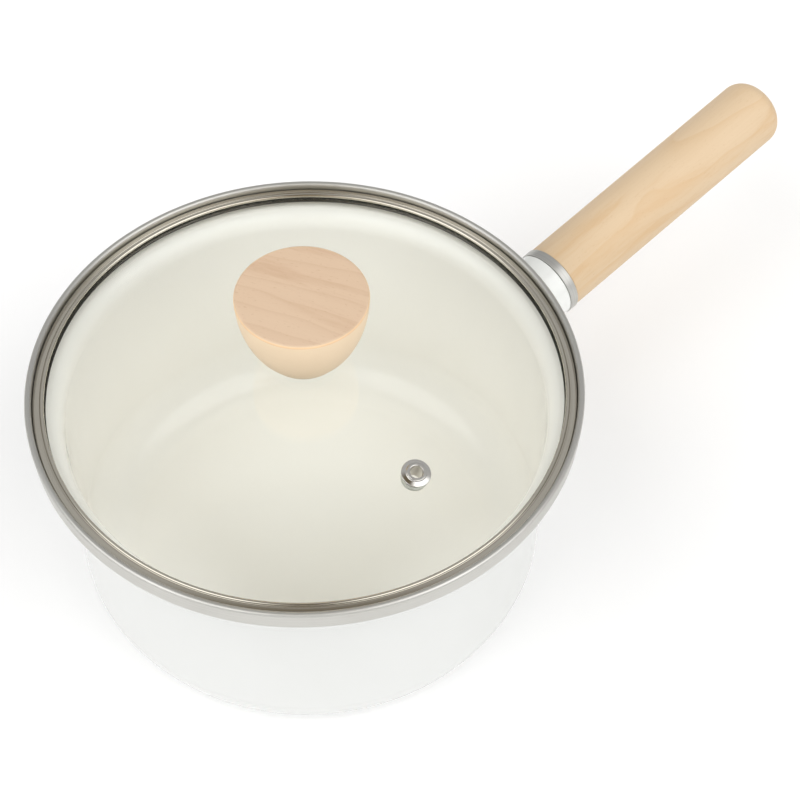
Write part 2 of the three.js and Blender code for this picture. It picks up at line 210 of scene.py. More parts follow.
# %% Turn a grid of points into a piece
ROUND = 192  # columns round the pan and the lid
SLIM = 96  # columns round the handle and the knob
FINE = 64  # columns round the vent and the screws


def mesh_piece(name, points, quads, fans=()):
    """A smooth mesh object from points, four-cornered faces and three-cornered faces, with its
    normals turned outwards."""
    faces = np.asarray(quads).tolist() + [tri for fan in fans for tri in np.asarray(fan).tolist()]
    data = bpy.data.meshes.new(name)
    data.from_pydata(points.tolist(), [], faces)
    tidy = bmesh.new()
    tidy.from_mesh(data)
    bmesh.ops.recalc_face_normals(tidy, faces=tidy.faces)
    tidy.to_mesh(data)
    tidy.free()
    data.shade_smooth()
    piece = bpy.data.objects.new(name, data)
    bpy.context.scene.collection.objects.link(piece)
    return piece


def grid_faces(rows, columns, ring):
    """Corner numbers of the squares of a grid whose columns close, and whose rows close on a ring."""
    row, column = np.meshgrid(np.arange(rows if ring else rows - 1), np.arange(columns), indexing="ij")
    next_row, next_column = (row + 1) % rows, (column + 1) % columns
    corners = [(row, column), (row, next_column), (next_row, next_column), (next_row, column)]
    return np.stack([r * columns + c for r, c in corners], -1).reshape(-1, 4)


def grid_mesh(name, grid, ring=True, poles=None):
    """A piece from a (rows, columns, 3) grid. poles are the two end points of a solid piece."""
    rows, columns = grid.shape[:2]
    points = grid.reshape(-1, 3)
    fans = []
    if poles is not None:
        turn = np.arange(columns)
        first, last = rows * columns, rows * columns + 1
        bottom = np.column_stack([np.full(columns, first), (turn + 1) % columns, turn])
        offset = (rows - 1) * columns
        top = np.column_stack([np.full(columns, last), turn + offset, (turn + 1) % columns + offset])
        points = np.vstack([points, poles])
        fans = [bottom, top]
    return mesh_piece(name, points, grid_faces(rows, columns, ring and poles is None), fans)


class Place:
    """An axis in space: an origin, and the unit vectors that local X, Y and Z turn into."""

    def __init__(self, origin=(0, 0, 0), axis=(0, 0, 1), start=(1, 0, 0)):
        self.origin = np.array(origin, float)
        self.z = np.array(Vector(axis).normalized())
        self.x = np.array(start, float) - self.z * (np.array(start, float) @ self.z)
        self.x /= np.linalg.norm(self.x)
        self.y = np.cross(self.z, self.x)

    def points(self, r, angle, z):
        """Points at a radius, an angle and a height along the axis, for whole arrays at once."""
        r, angle, z = np.broadcast_arrays(r, angle, z)
        x, y = (r * np.cos(angle))[..., None], (r * np.sin(angle))[..., None]
        return self.origin + x * self.x + y * self.y + z[..., None] * self.z


UPRIGHT = Place()


def spin(name, section, columns=ROUND, place=UPRIGHT):
    """A surface of revolution: row i, column j is the section's point i at angle 2 pi j / columns.
    A section whose ends lie on the axis gives a solid with two poles, and any other gives a ring."""
    angle = np.linspace(0, 2 * math.pi, columns, endpoint=False)
    solid = abs(section[0, 0]) < 1e-9 and abs(section[-1, 0]) < 1e-9
    body = section[1:-1] if solid else section
    grid = place.points(body[:, :1], angle[None], body[:, 1:])
    poles = place.points(0, 0, section[[0, -1], 1]) if solid else None
    piece = grid_mesh(name, grid, poles=poles)
    print(f"{name}: {len(piece.data.vertices)} vertices")
    return piece


# %% [markdown]
# ## Shader maths
#
# A finish is a sum of patterns, so it reads best as a sum. `Wire` wraps one socket of a
# node tree. Adding, multiplying or subtracting wires adds a Math node for each sign. Every
# other node comes from `node`, which takes the node's type, its settings and its inputs.
# Colours go through a Mix node, because a Math node would turn them grey.

# %% Wrap a socket so that it can be used in sums
class Wire:
    """One output socket of a node tree, usable in arithmetic."""

    def __init__(self, tree, socket=None):
        self.tree = tree
        self.socket = socket

    def node(self, kind, settings=None, inputs=None, output=0):
        """A new node: settings first, then inputs by name or number, each a value or a wire."""
        made = self.tree.nodes.new("ShaderNode" + kind)
        for key, value in (settings or {}).items():
            setattr(made, key, value)
        for key, value in (inputs or {}).items():
            if isinstance(value, Wire):
                self.tree.links.new(value.socket, made.inputs[key])
            else:
                made.inputs[key].default_value = value
        return Wire(self.tree, made.outputs[output])

    def math(self, operation, *values):
        return self.node("Math", {"operation": operation}, dict(enumerate(values)))

    def __add__(self, other):
        return self.math("ADD", self, other)

    def __sub__(self, other):
        return self.math("SUBTRACT", self, other)

    def __rsub__(self, other):
        return self.math("SUBTRACT", other, self)

    def __mul__(self, other):
        return self.math("MULTIPLY", self, other)

    def __pow__(self, other):
        return self.math("POWER", self, other)

    __radd__ = __add__
    __rmul__ = __mul__

    def above(self, start, end):
        """0 below start, 1 above end, and a smooth step between them."""
        settings = {"interpolation_type": "SMOOTHSTEP"}
        inputs = {"Value": self, "From Min": start, "From Max": end}
        return self.node("MapRange", settings, inputs)

    def part(self, name):
        """One of the numbers X, Y and Z of a vector."""
        return self.node("SeparateXYZ", inputs={0: self}, output="XYZ".index(name))

    def noise(self, scale, detail=2, roughness=0.5, distortion=0):
        """Noise read at this vector, between 0 and 1."""
        values = {"Vector": self, "Scale": scale, "Detail": detail}
        values |= {"Roughness": roughness, "Distortion": distortion}
        return self.node("TexNoise", inputs=values)

    def moved(self, shift=(0, 0, 0), turn=(0, 0, 0), stretch=(1, 1, 1)):
        """This vector through a Mapping node."""
        inputs = {"Vector": self, "Location": shift, "Rotation": turn, "Scale": stretch}
        return self.node("Mapping", inputs=inputs)


def rgb(red, green, blue):
    """A colour given as 0 to 255 display values, made linear for the shader."""
    display = np.array([red, green, blue]) / 255
    linear = np.where(display <= 0.04045, display / 12.92, ((display + 0.055) / 1.055) ** 2.4)
    return (*linear.tolist(), 1.0)


def blend(share, first, second):
    """A colour between two colours, by a wire from 0 to 1."""
    inputs = {0: share, 6: first, 7: second}
    return share.node("Mix", {"data_type": "RGBA"}, inputs, output=2)


# %% [markdown]
# Most finishes are one Principled node. What is the same all over is set on its sockets, and what
# varies is wired to them from patterns read in the object's own coordinates, so that the
# pattern stays on the piece when it moves.

# %% Start a finish
def finish(name, slot, build, **fixed):
    """A material: fixed values go on the Principled node's own sockets, and build(place) gets the
    object coordinates as a wire and returns the sockets that vary, as wires."""
    material = bpy.data.materials.new(name)
    material.use_nodes = True
    tree = material.node_tree
    shader = tree.nodes["Principled BSDF"]
    for key, value in fixed.items():
        shader.inputs[key.replace("_", " ")].default_value = value
    start = Wire(tree)
    for key, wire in build(start.node("TexCoord", output=3)).items():
        tree.links.new(wire.socket, shader.inputs[key])
    material["slot"] = slot
    return material


def bump(wire, height, distance, strength=1.0):
    """A Bump node that raises the surface by a pattern, distance metres at most."""
    return wire.node("Bump", inputs={"Height": height, "Distance": distance, "Strength": strength})


# %% [markdown]
# ## Enamel
#
# Vitreous enamel is glass melted onto steel. It is hard, glossy and very slightly wavy, like
# the skin of an orange seen close, and its colour drifts a little where the coat is thicker.
# The wave could be real displacement, but it is a few hundredths of a millimetre high, so a
# bump is enough. The outside is white and the inside is a warmer cream, which are two
# finishes on one piece.

# %% Make the enamels
def enamel(name, colour, thin, gloss):
    """Glossy enamel of one colour, with a fainter second colour where the coat is thin."""

    def build(place):
        drift = place.noise(14, 3, 0.55).above(0.42, 0.72)
        speck = place.noise(900, 1, 0.5).above(0.74, 0.8)
        colours = blend(drift * 0.5 + speck * 0.15, colour, thin)
        wave = place.noise(90, 2, 0.4) + place.noise(420, 1, 0.5) * 0.25
        smear = place.noise(30, 3, 0.6).above(0.45, 0.8)
        return {
            "Base Color": colours,
            "Roughness": gloss + smear * 0.08,
            "Normal": bump(place, wave, 0.03 * MM, 0.4),
        }

    return finish(name, "enamel", build, IOR=1.5)


white_enamel = enamel("white_enamel", rgb(221, 222, 220), rgb(217, 218, 215), 0.14)
socket_enamel = enamel("socket_enamel", rgb(238, 239, 236), rgb(233, 234, 231), 0.14)
cream_enamel = enamel("cream_enamel", rgb(248, 245, 239), rgb(246, 243, 236), 0.06)
print("enamels", white_enamel.name, socket_enamel.name, cream_enamel.name)

# %% [markdown]
# ## Steel, brass and zinc
#
# The rim's trim is satin: a belt has left fine lines round it, so the pattern changes fast
# with radius and height and hardly at all round the axis. Reading the noise at (radius,
# height) does that with no seam. The lid's band is the same steel, polished, so its lines
# are fainter and it mirrors the room.

# %% Make the metals
def turned_lines(place, scale):
    """Noise that runs round the pan's axis: it is read at the radius and the height."""
    flat = place.node("VectorMath", {"operation": "MULTIPLY"}, {0: place, 1: (1, 1, 0)})
    reach = flat.node("VectorMath", {"operation": "LENGTH"}, {0: flat}, output="Value")
    slow = place.noise(9, 2) * 0.002
    spot = place.node("CombineXYZ", inputs={"X": reach, "Y": place.part("Z"), "Z": slow})
    return spot.noise(scale, 3, 0.6)


def steel(name, slot, colour, worn, gloss, lines, lines_at=turned_lines, **more):
    """Steel with turned lines, cloudy wipe marks and a roughness that follows both."""

    def build(place):
        mark = lines_at(place, 2600)
        cloud = place.noise(26, 4, 0.6).above(0.35, 0.75)
        return {
            "Base Color": blend(mark.above(0.3, 0.7) * 0.5 + cloud * 0.3, colour, worn),
            "Roughness": gloss + mark * lines + cloud * 0.05,
            "Normal": bump(place, mark, 0.01 * MM, lines),
        }

    return finish(name, slot, build, Metallic=1.0, **more)


def grained(place, scale):
    """Plain fine noise, for small parts that are stamped and tumbled, not turned."""
    return place.noise(scale, 3, 0.6)


satin_steel = steel(
    "satin_steel", "brushed_steel", rgb(205, 204, 199), rgb(188, 186, 181), 0.3, 0.18
)
mirror_steel = steel(
    "mirror_steel", "polished_steel", rgb(203, 198, 186), rgb(190, 184, 171), 0.08, 0.06
)
washer_steel = steel(
    "washer_steel", "brushed_steel", rgb(198, 197, 193), rgb(170, 169, 165), 0.3, 0.15
)
eyelet_steel = steel(
    "eyelet_steel", "polished_steel", rgb(216, 214, 209), rgb(196, 193, 188), 0.1, 0.08, grained
)
zinc = steel("zinc", "zinc_steel", rgb(176, 178, 180), rgb(140, 143, 147), 0.4, 0.2, grained)
brass = steel("brass", "brass", rgb(206, 170, 98), rgb(168, 132, 74), 0.3, 0.15, grained)
print("metals", [m.name for m in (satin_steel, mirror_steel, washer_steel, eyelet_steel, zinc, brass)])

# %% [markdown]
# ## Glass and silicone
#
# The lid is clear tempered glass, a shade green through its edge. A Principled node with full
# transmission bends light as glass does, but then the lamps can't light the pan through it
# without slow caustics. So rays from lamps, and soft light, pass straight through a
# Transparent shader instead, and what the eye sees still goes through the real glass.

# %% Make the glass
def clear_glass():
    """Bending glass for what is seen, and a plain window for what lights the inside."""

    def build(place):
        smear = place.noise(11, 4, 0.6).above(0.5, 0.85)
        return {"Roughness": smear * 0.015}

    tint = rgb(253, 255, 254)
    material = finish(
        "clear_glass", "glass", build, Base_Color=tint, Transmission_Weight=1.0, IOR=1.5
    )
    tree = material.node_tree
    output, shader = tree.nodes["Material Output"], tree.nodes["Principled BSDF"]
    start = Wire(tree)
    path = tree.nodes.new("ShaderNodeLightPath")
    window = start.node("BsdfTransparent", inputs={"Color": rgb(253, 254, 253)})
    mixed = Wire(tree, shader.outputs[0])
    for ray in ("Is Diffuse Ray", "Is Shadow Ray"):
        mixed = start.node("MixShader", inputs={0: Wire(tree, path.outputs[ray]), 1: mixed, 2: window})
    tree.links.new(mixed.socket, output.inputs["Surface"])
    return material


def silicone(name, slot, colour, dusty, **more):
    """Soft moulded silicone: matt, a little dusty, with the mould's fine grain."""

    def build(place):
        dust = place.noise(160, 4, 0.65)
        grain = place.noise(2400, 2, 0.5)
        return {
            "Base Color": blend(dust.above(0.45, 0.8) * 0.6, colour, dusty),
            "Roughness": 0.42 + dust * 0.2,
            "Normal": bump(place, grain, 0.02 * MM, 0.4),
        }

    return finish(name, slot, build, **more)


glass = clear_glass()
# Painted shade: the seal's near-black colour stands in for the shadowed gap inside the band's lip.
dark_silicone = silicone("dark_silicone", "dark_silicone", rgb(36, 36, 31), rgb(58, 58, 51))
clear_silicone = silicone(
    "clear_silicone", "clear_silicone", rgb(240, 239, 230), rgb(228, 227, 217),
    Transmission_Weight=0.5, IOR=1.41,
)
print("soft finishes", glass.name, dark_silicone.name, clear_silicone.name)

# %% [markdown]
# ## Wood
#
# A turned piece shows the wood it was cut from: growth rings are shells round the tree's
# pith, so the pattern is worked out in the solid and the surface just cuts through it. The
# rings are the sine of the distance from a pith that lies off to one side, shaken by noise.
# Fibres are noise stretched far along the grain, and pores are short dark flecks. The handle
# is cut along the grain, and the knob across it, so its flat top shows long faint waves. The
# knob's turned side is painted lighter than its top, as painted light on the side.

# %% Make the woods
def wood(name, slot, place_of_grain, colours, ring_width, lines, flecks, skin=None):
    """Solid wood. place_of_grain turns object coordinates so that X runs along the grain. colours
    are the early wood, the late wood, a warm streak and the flecks. lines and flecks say how
    strongly rings and flecks show. skin(place) is a wire from 0, turned side, to 1, flat face."""
    early, late, warm, dark = colours

    def build(place):
        grain = place_of_grain(place)
        face = skin(place) if skin else None
        wander = grain.moved(stretch=(0.45, 1, 1)).noise(30, 2, 0.5)
        across = grain.moved(stretch=(0.1, 1, 1))
        reach = across.node("VectorMath", {"operation": "LENGTH"}, {0: across}, output="Value")
        turns = reach * (1 / ring_width) + wander * 2.6
        share = turns.math("FRACT", turns)
        line = share ** 5 * (1 - share.above(0.94, 1.0))
        show = line * lines if face is None else line * (face * lines + lines * 0.25)
        fibre = grain.moved(stretch=(0.02, 1, 1)).noise(1500, 3, 0.65)
        streak = grain.moved(stretch=(0.12, 1, 1)).noise(95, 4, 0.65, 0.5).above(0.48, 0.7)
        patch = grain.moved(stretch=(0.25, 1, 1)).noise(42, 2, 0.5).above(0.35, 0.7)
        pore = grain.moved(stretch=(0.3, 1, 1)).noise(1800, 1, 0.4).above(0.64, 0.74)
        tone = blend(patch * 0.4, early, late)
        tone = blend(show, tone, warm)
        tone = blend(streak * 0.5, tone, warm)
        tone = blend(fibre.above(0.3, 0.75) * 0.25, tone, late)
        tone = blend(pore * flecks, tone, dark)
        if face is not None:
            near_top = place.part("Z").above(high("knob_grip") - 1.3 * MM, high("knob_grip") - 0.8 * MM)
            # Painted light: the turned side is blended towards a lighter colour than the flat top, for
            # the light that falls on the side.
            tone = blend((1 - face) * 0.8, tone, KNOB_SIDE_PAINTED_LIGHT)
            tone = blend(near_top * (1 - face) * 0.55, tone, EDGE_OF_KNOB)
        height = fibre * 0.6 - pore * 0.8 + line * 0.2
        return {
            "Base Color": tone,
            "Roughness": 0.5 + fibre * 0.12 - line * 0.06,
            "Normal": bump(place, height, 0.06 * MM, 0.3),
        }

    return finish(name, slot, build)


HANDLE_HEIGHT = 46.5 * MM
HANDLE_SLOPE = math.radians(6.5)
KNOB_GRAIN = VIEW_BEARING - math.radians(110)
# Painted light: the lighter colour of the knob's turned side.
KNOB_SIDE_PAINTED_LIGHT = rgb(250, 227, 195)
EDGE_OF_KNOB = rgb(232, 186, 128)


def along_handle(place):
    """Object coordinates turned so that X is the handle's axis, with the pith below it."""
    centred = place.moved(shift=(-WALL_RADIUS, 0, -HANDLE_HEIGHT))
    level = centred.moved(turn=(0, HANDLE_SLOPE, 0))
    return level.moved(shift=(0, 9 * MM, 21 * MM))


def across_knob(place):
    """Object coordinates turned so that X runs level through the knob, with the pith far below."""
    level = place.moved(turn=(0, 0, -KNOB_GRAIN))
    return level.moved(shift=(0, 42 * MM, -high("knob_grip") + 40 * MM))


def top_of_knob(place):
    """1 on the knob's flat top and 0 on its turned side."""
    return place.part("Z").above(high("knob_grip") - 0.5 * MM, high("knob_grip") - 0.1 * MM)


pine = wood(
    "pine", "pine", along_handle,
    (rgb(218, 193, 160), rgb(210, 182, 144), rgb(206, 166, 116), rgb(182, 142, 98)),
    7 * MM, 0.4, 0.12,
)
beech = wood(
    "beech", "beech", across_knob,
    (rgb(217, 190, 162), rgb(211, 182, 153), rgb(189, 151, 119), rgb(176, 136, 102)),
    5.2 * MM, 0.26, 0.25, top_of_knob,
)
print("woods", pine.name, beech.name)

# %% [markdown]
# ## Bodies
#
# Pan, rim of the lid and lid are three bodies, because the lid lifts off and turns. Each
# piece rides on one body and hides the CAD node that it stands for.

# %% Dress a piece
def dress(piece, body, slot, nodes, *materials):
    """Give a piece its finishes, the body that it rides on and the CAD nodes that it stands for."""
    for material in materials:
        piece.data.materials.append(material)
    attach(piece, body)
    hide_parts(*nodes)
    print(piece.name, "rides on", body)
    return piece


# %% [markdown]
# ## The pan
#
# The pan is drawn from one disc of steel: a flat base, a rounded corner, a straight wall, a
# hollow flare out to the lid's seat, and a short upright lip. One closed outline gives both
# faces. Its roundings are concentric, so the wall keeps its thickness round every bend. The
# base is a hair hollow in the middle, as real ones are, so that it stands on a ring.

# %% Spin the pan
seat = low("lid_band") - FIT
BASE_HOLLOW = 0.35 * MM
BASE_RING = 60 * MM
lip_inner = lip_radius - SHEET
lip_top = high("pan_body")
pan_section = outline(
    (0, BASE_HOLLOW, 0),
    (BASE_RING, BASE_HOLLOW, 4 * MM),
    (BASE_RING + 3 * MM, 0, 4 * MM),
    (WALL_RADIUS, 0, CORNER),
    (WALL_RADIUS, seat - SHEET, FLARE),
    (lip_radius, seat - SHEET, LIP_CORNER),
    (lip_radius, lip_top, SHEET * 0.45),
    (lip_inner, lip_top, SHEET * 0.45),
    (lip_inner, seat, LIP_CORNER - SHEET),
    (WALL_RADIUS - SHEET, seat, FLARE + SHEET),
    (WALL_RADIUS - SHEET, SHEET, CORNER - SHEET),
    (0, SHEET, 0),
)
pan = spin("enamelled_pan", pan_section)
dress(pan, "pan", "enamel", ["pan_body"], white_enamel, cream_enamel)

# %% [markdown]
# White and cream meet on top of the lip, where the trim hides the join. A face is inside if
# it looks at the axis, or up from above the base.

# %% Give the inside its cream enamel
def read(polygons, name):
    """One vector for every face, as an array."""
    values = np.zeros(len(polygons) * 3)
    polygons.foreach_get(name, values)
    return values.reshape(-1, 3)


centres, normals = read(pan.data.polygons, "center"), read(pan.data.polygons, "normal")
out_from_axis = np.hypot(centres[:, 0], centres[:, 1])
faces_in = np.sum(centres[:, :2] * normals[:, :2], 1) < -0.1 * out_from_axis
faces_up = (normals[:, 2] > 0.3) & (centres[:, 2] > SHEET / 2)
inside = faces_in & (centres[:, 2] > SHEET / 2) | faces_up
pan.data.polygons.foreach_set("material_index", inside.astype(np.int32))
print("cream faces", int(inside.sum()), "of", len(inside))

# %% [markdown]
# ## The rim's trim
#
# A strip of satin steel hides the raw lip: a skirt outside, a rolled bead on top and a short
# leg inside. It is bent sheet, so it is drawn as the path of its outer face and given its
# thickness by `sheet`.

# %% Bend the trim over the lip
trim_inner = lip_inner - CRIMP - TRIM_SHEET
skirt_radius = rim_radius - TRIM_BEAD
bead = (rim_radius - trim_inner) / 2
skirt_angle = -math.degrees(math.acos((skirt_radius - rim_radius + bead) / bead))
LEG = 5 * MM
skirt_bottom = low("rim_trim")
bead_arc = arc(rim_radius - bead, rim_height, bead, skirt_angle, 180)
leg = np.linspace((trim_inner, rim_height - HOLD), (trim_inner, rim_height - LEG), 4)
skirt = np.linspace((skirt_radius, skirt_bottom + TRIM_SHEET), bead_arc[0] - (0, HOLD), 6)
trim = spin("rim_trim_steel", sheet(np.vstack([skirt, bead_arc, leg]), TRIM_SHEET))
dress(trim, "pan", "brushed_steel", ["rim_trim"], satin_steel)

# %% [markdown]
# ## The lid's band and seal
#
# The band is polished steel, bent round the edge of the glass: a leg underneath, an upright
# side, a tight corner, a flat zone that rises a little inwards, a narrow dip, and a rolled bead
# whose lip ends just above the glass. The arcs start where the last one ends and in the same
# direction, so reflections run over the joins without a kink. The dip's centre lies on the
# line from the bead's centre through their join.

# %% Bend the band
band_outer = radius("lid_band")
band_bottom = low("lid_band")
BAND_WIDTH = 4 * MM
BAND_BEAD = 0.8 * MM
BAND_CORNER = 0.6 * MM
DIP = 0.3 * MM
LEG_RISE = 1.2 * MM
band_lip = band_outer - BAND_WIDTH
bead_height = high("lid_band") - BAND_BEAD
TIGHT = 0.3 * MM
FALL = 12
leg_end = band_outer - BAND_CORNER - HOLD
edge_r = band_outer + 0.1 * MM
JOIN = 25
CLIMB = 34


def toward(degrees):
    """The unit step in the section's plane at an angle above level."""
    return np.array([math.cos(math.radians(degrees)), math.sin(math.radians(degrees))])


bead_centre = np.array([band_lip + BAND_BEAD, bead_height])
dip = bead_centre + (BAND_BEAD + DIP) * toward(JOIN)
dip_arc = arc(*dip, DIP, 270 + CLIMB, 180 + JOIN)
crest = dip_arc[0] + 0.25 * MM * toward(CLIMB)
drop = edge_r - TIGHT - crest[0]
edge_centre = np.array([edge_r - TIGHT, crest[1] - drop * math.tan(math.radians(FALL)) - TIGHT])
zone_end = (edge_centre[0] - 0.1 * MM, edge_centre[1] + TIGHT + 0.02 * MM, 0)
band_path = np.vstack([
    np.linspace((band_lip, band_bottom + LEG_RISE), (leg_end, band_bottom), 6),
    arc(band_outer - BAND_CORNER, band_bottom + BAND_CORNER, BAND_CORNER, -90, 0),
    np.linspace((band_outer, band_bottom + 1.2 * MM), (edge_r, edge_centre[1] - HOLD), 6),
    arc(*edge_centre, TIGHT, 0, 90 - FALL),
    outline(zone_end, (*crest, 0.3 * MM), (*dip_arc[0], 0))[1:-1],
    dip_arc[1:],
    arc(*bead_centre, BAND_BEAD, JOIN, 180 + JOIN)[1:],
])
print("band crest", (crest / MM).round(2), "edge", (edge_centre / MM).round(2), "mm")
band = spin("lid_band_steel", sheet(band_path, TRIM_SHEET))
dress(band, "lid_rim", "polished_steel", ["lid_band"], mirror_steel)

# %% [markdown]
# A seal sits between the band and the glass. Its near-black colour is painted shade: it draws
# the shadowed gap inside the band's lip as a thin dark line. Its leaf lies on the band's leg,
# so both rise towards the glass by the same slope.

# %% Mould the seal
SEAL = 0.5 * MM
LEAF = 0.4 * MM
SEAL_SHOW = 0.85 * MM
seal_outer = radius("lid_seal")
seal_inner = band_lip - SEAL_SHOW
seal_bottom, seal_top = low("lid_seal"), high("lid_seal")
EDGE = SEAL * 0.25
leg_slope = LEG_RISE / (band_outer - BAND_CORNER - band_lip)


def leaf_bottom(r):
    """Underside of the seal's leaf: it lies along the band's leg, which rises inwards."""
    return seal_bottom + (seal_outer - r) * leg_slope


seal_inside = seal_outer - SEAL
middle_of_leaf = (seal_inner + seal_outer) / 2
seal_section = closed(
    (middle_of_leaf, leaf_bottom(middle_of_leaf), 0),
    (seal_outer, seal_bottom, EDGE),
    (seal_outer, seal_top, EDGE),
    (seal_inside, seal_top, EDGE),
    (seal_inside, leaf_bottom(seal_inside) + LEAF, EDGE),
    (seal_inner, leaf_bottom(seal_inner) + LEAF, EDGE),
    (seal_inner, leaf_bottom(seal_inner), EDGE),
)
seal = spin("lid_seal_painted_shade", seal_section)
dress(seal, "lid_rim", "dark_silicone", ["lid_seal"], dark_silicone)

# %% [markdown]
# ## The glass
#
# The dome is a spherical shell with a rounded edge, a hole in its crown for the knob's screw
# and one in its side for the vent. The crown's hole is on the axis, so a spun section has it
# already.

# %% Work out the dome
GLASS = 3.5 * MM
KNOB_HOLE = 4.2 * MM
RISE = 19 * MM
glass_radius = radius("lid_glass")
dome_radius = (glass_radius**2 + RISE**2) / (2 * RISE)
dome_centre = np.array([0, 0, math.sqrt((dome_radius - GLASS) ** 2 - glass_radius**2)])
dome_centre[2] = low("lid_glass") - dome_centre[2]


def glass_top(r):
    """Height of the top face at a radius."""
    return dome_centre[2] + math.sqrt(dome_radius**2 - r**2)


VENT_REACH = 61.3 * MM
VENT_BEARING = math.radians(-94)
vent_spot = (
    VENT_REACH * math.cos(VENT_BEARING), VENT_REACH * math.sin(VENT_BEARING), glass_top(VENT_REACH)
)
vent_place = Place(vent_spot, np.array(vent_spot) - dome_centre)
VENT_HOLE = 4.2 * MM
print("dome radius", round(dome_radius, 4), "crown", round(glass_top(0), 4))

# %% [markdown]
# The vent's hole is off the axis, and a Boolean would leave long thin faces that show in
# reflections. So a block of the spun grid round the vent is taken out, on both faces of the
# glass, and drawn again as rings of points that shrink from the block's outline to the
# hole. Every point is then put back on its sphere, and a ring of squares joins the two faces
# as the wall of the hole.

# %% Cut the vent's hole in the spun grid
FACE_ROWS = 60


def glass_lid():
    """The spun shell with its vent hole."""
    reach = np.linspace(KNOB_HOLE + 0.5 * MM, glass_radius - 1.4 * MM, FACE_ROWS)
    lower = dome_radius - GLASS
    top = np.column_stack([reach, dome_centre[2] + np.sqrt(dome_radius**2 - reach**2)])
    bottom = np.column_stack([reach, dome_centre[2] + np.sqrt(lower**2 - reach**2)])
    low_edge, high_edge = bottom[-1], top[-1]
    middle, half = (low_edge + high_edge) / 2, (high_edge - low_edge) / 2
    bulge = glass_radius - middle[0]
    swing = np.radians(np.linspace(-90, 90, 15))[1:-1, None]
    edge = middle + np.sin(swing) * half + np.cos(swing) * np.array([bulge, 0])
    hole_low, hole_high = bottom[0], top[0]
    ease = np.linspace(-1, 1, 9)[1:-1, None]
    wall = (hole_low + hole_high) / 2 - ease * (hole_high - hole_low) / 2
    wall[:, 0] = KNOB_HOLE + 0.5 * MM * (1 - np.sqrt(1 - np.abs(ease[:, 0]) ** 6))
    section = np.vstack([bottom, edge, top[::-1], wall])
    columns = ROUND
    angle = np.linspace(0, 2 * math.pi, columns, endpoint=False) + VENT_BEARING
    grid = UPRIGHT.points(section[:, :1], angle[None], section[:, 1:])
    rows = len(section)
    points = grid.reshape(-1, 3)

    # The block round the vent, as rows of the faces and columns of the grid.
    margin = VENT_HOLE * 1.9
    inside_rows = np.flatnonzero(np.abs(reach - VENT_REACH) < margin)
    row_low, row_high = inside_rows[0], inside_rows[-1]
    span = int(round(margin / (VENT_REACH * 2 * math.pi / columns)))
    ring_rows = np.concatenate([
        np.full(2 * span, row_low), np.arange(row_low, row_high),
        np.full(2 * span, row_high), np.arange(row_high, row_low, -1),
    ])
    ring_columns = np.concatenate([
        np.arange(-span, span), np.full(row_high - row_low, span),
        np.arange(span, -span, -1), np.full(row_high - row_low, -span),
    ]) % columns
    top_start = len(bottom) + len(edge) + FACE_ROWS - 1
    bottom_ring = ring_rows * columns + ring_columns
    top_ring = (top_start - ring_rows) * columns + ring_columns

    # Drop the squares inside the block.
    quads = grid_faces(rows, columns, ring=True)
    row, column = quads[:, 0] // columns, quads[:, 0] % columns
    beside = (column + span) % columns < 2 * span
    in_bottom = (row >= row_low) & (row < row_high)
    in_top = (row >= top_start - row_high) & (row < top_start - row_low)
    quads = quads[~(beside & (in_bottom | in_top))]

    # Rings from the block's outline to the hole, put back on their sphere.
    def rings(outline_ids, sphere, depth):
        start = points[outline_ids]
        flat = start - vent_place.origin
        turn = np.arctan2(flat @ vent_place.y, flat @ vent_place.x)
        end = vent_place.points(VENT_HOLE, turn, 0) - vent_place.z * depth
        share = np.linspace(0, 1, 8)[1:, None, None]
        loops = start * (1 - share) + end * share
        ray = loops - dome_centre
        return dome_centre + ray / np.linalg.norm(ray, axis=-1, keepdims=True) * sphere

    upper = rings(top_ring, dome_radius, 0)
    under = rings(bottom_ring, lower, GLASS)
    count = len(ring_rows)
    first_upper = len(points)
    first_under = first_upper + upper.shape[0] * count
    numbers = np.arange(upper.shape[0] * count).reshape(-1, count)
    ids_upper = np.vstack([top_ring, first_upper + numbers])
    ids_under = np.vstack([bottom_ring, first_under + numbers])
    ladder = np.vstack([ids_upper, ids_under[::-1]])
    beside_next = np.roll(ladder, -1, axis=1)
    patch = np.stack([ladder[:-1], beside_next[:-1], beside_next[1:], ladder[1:]], -1).reshape(-1, 4)
    points = np.vstack([points, upper.reshape(-1, 3), under.reshape(-1, 3)])
    return mesh_piece("lid_glass_dome", points, np.vstack([quads, patch]))


lid = glass_lid()
dress(lid, "lid", "glass", ["lid_glass"], glass)
print("glass", len(lid.data.vertices), "vertices")

# %% [markdown]
# ## The knob
#
# The knob is half of an egg with its round end cut off to sit on the glass: its side is the
# ellipse r = a sqrt(1 - (z / b)^2), measured down from the flat top. The top's edge is broken
# by a small rounding, which catches the light.

# %% Turn the knob
KNOB_DEPTH = 34.5 * MM
KNOB_EDGE = 0.9 * MM
knob_radius = radius("knob_grip")
knob_top, knob_base = high("knob_grip"), low("knob_grip")
BORE = radius("knob_insert") + FIT
bore_end = high("knob_insert") + FIT


def knob_side(depth):
    """Radius of the knob at depths below its top."""
    return knob_radius * np.sqrt(1 - (depth / KNOB_DEPTH) ** 2)


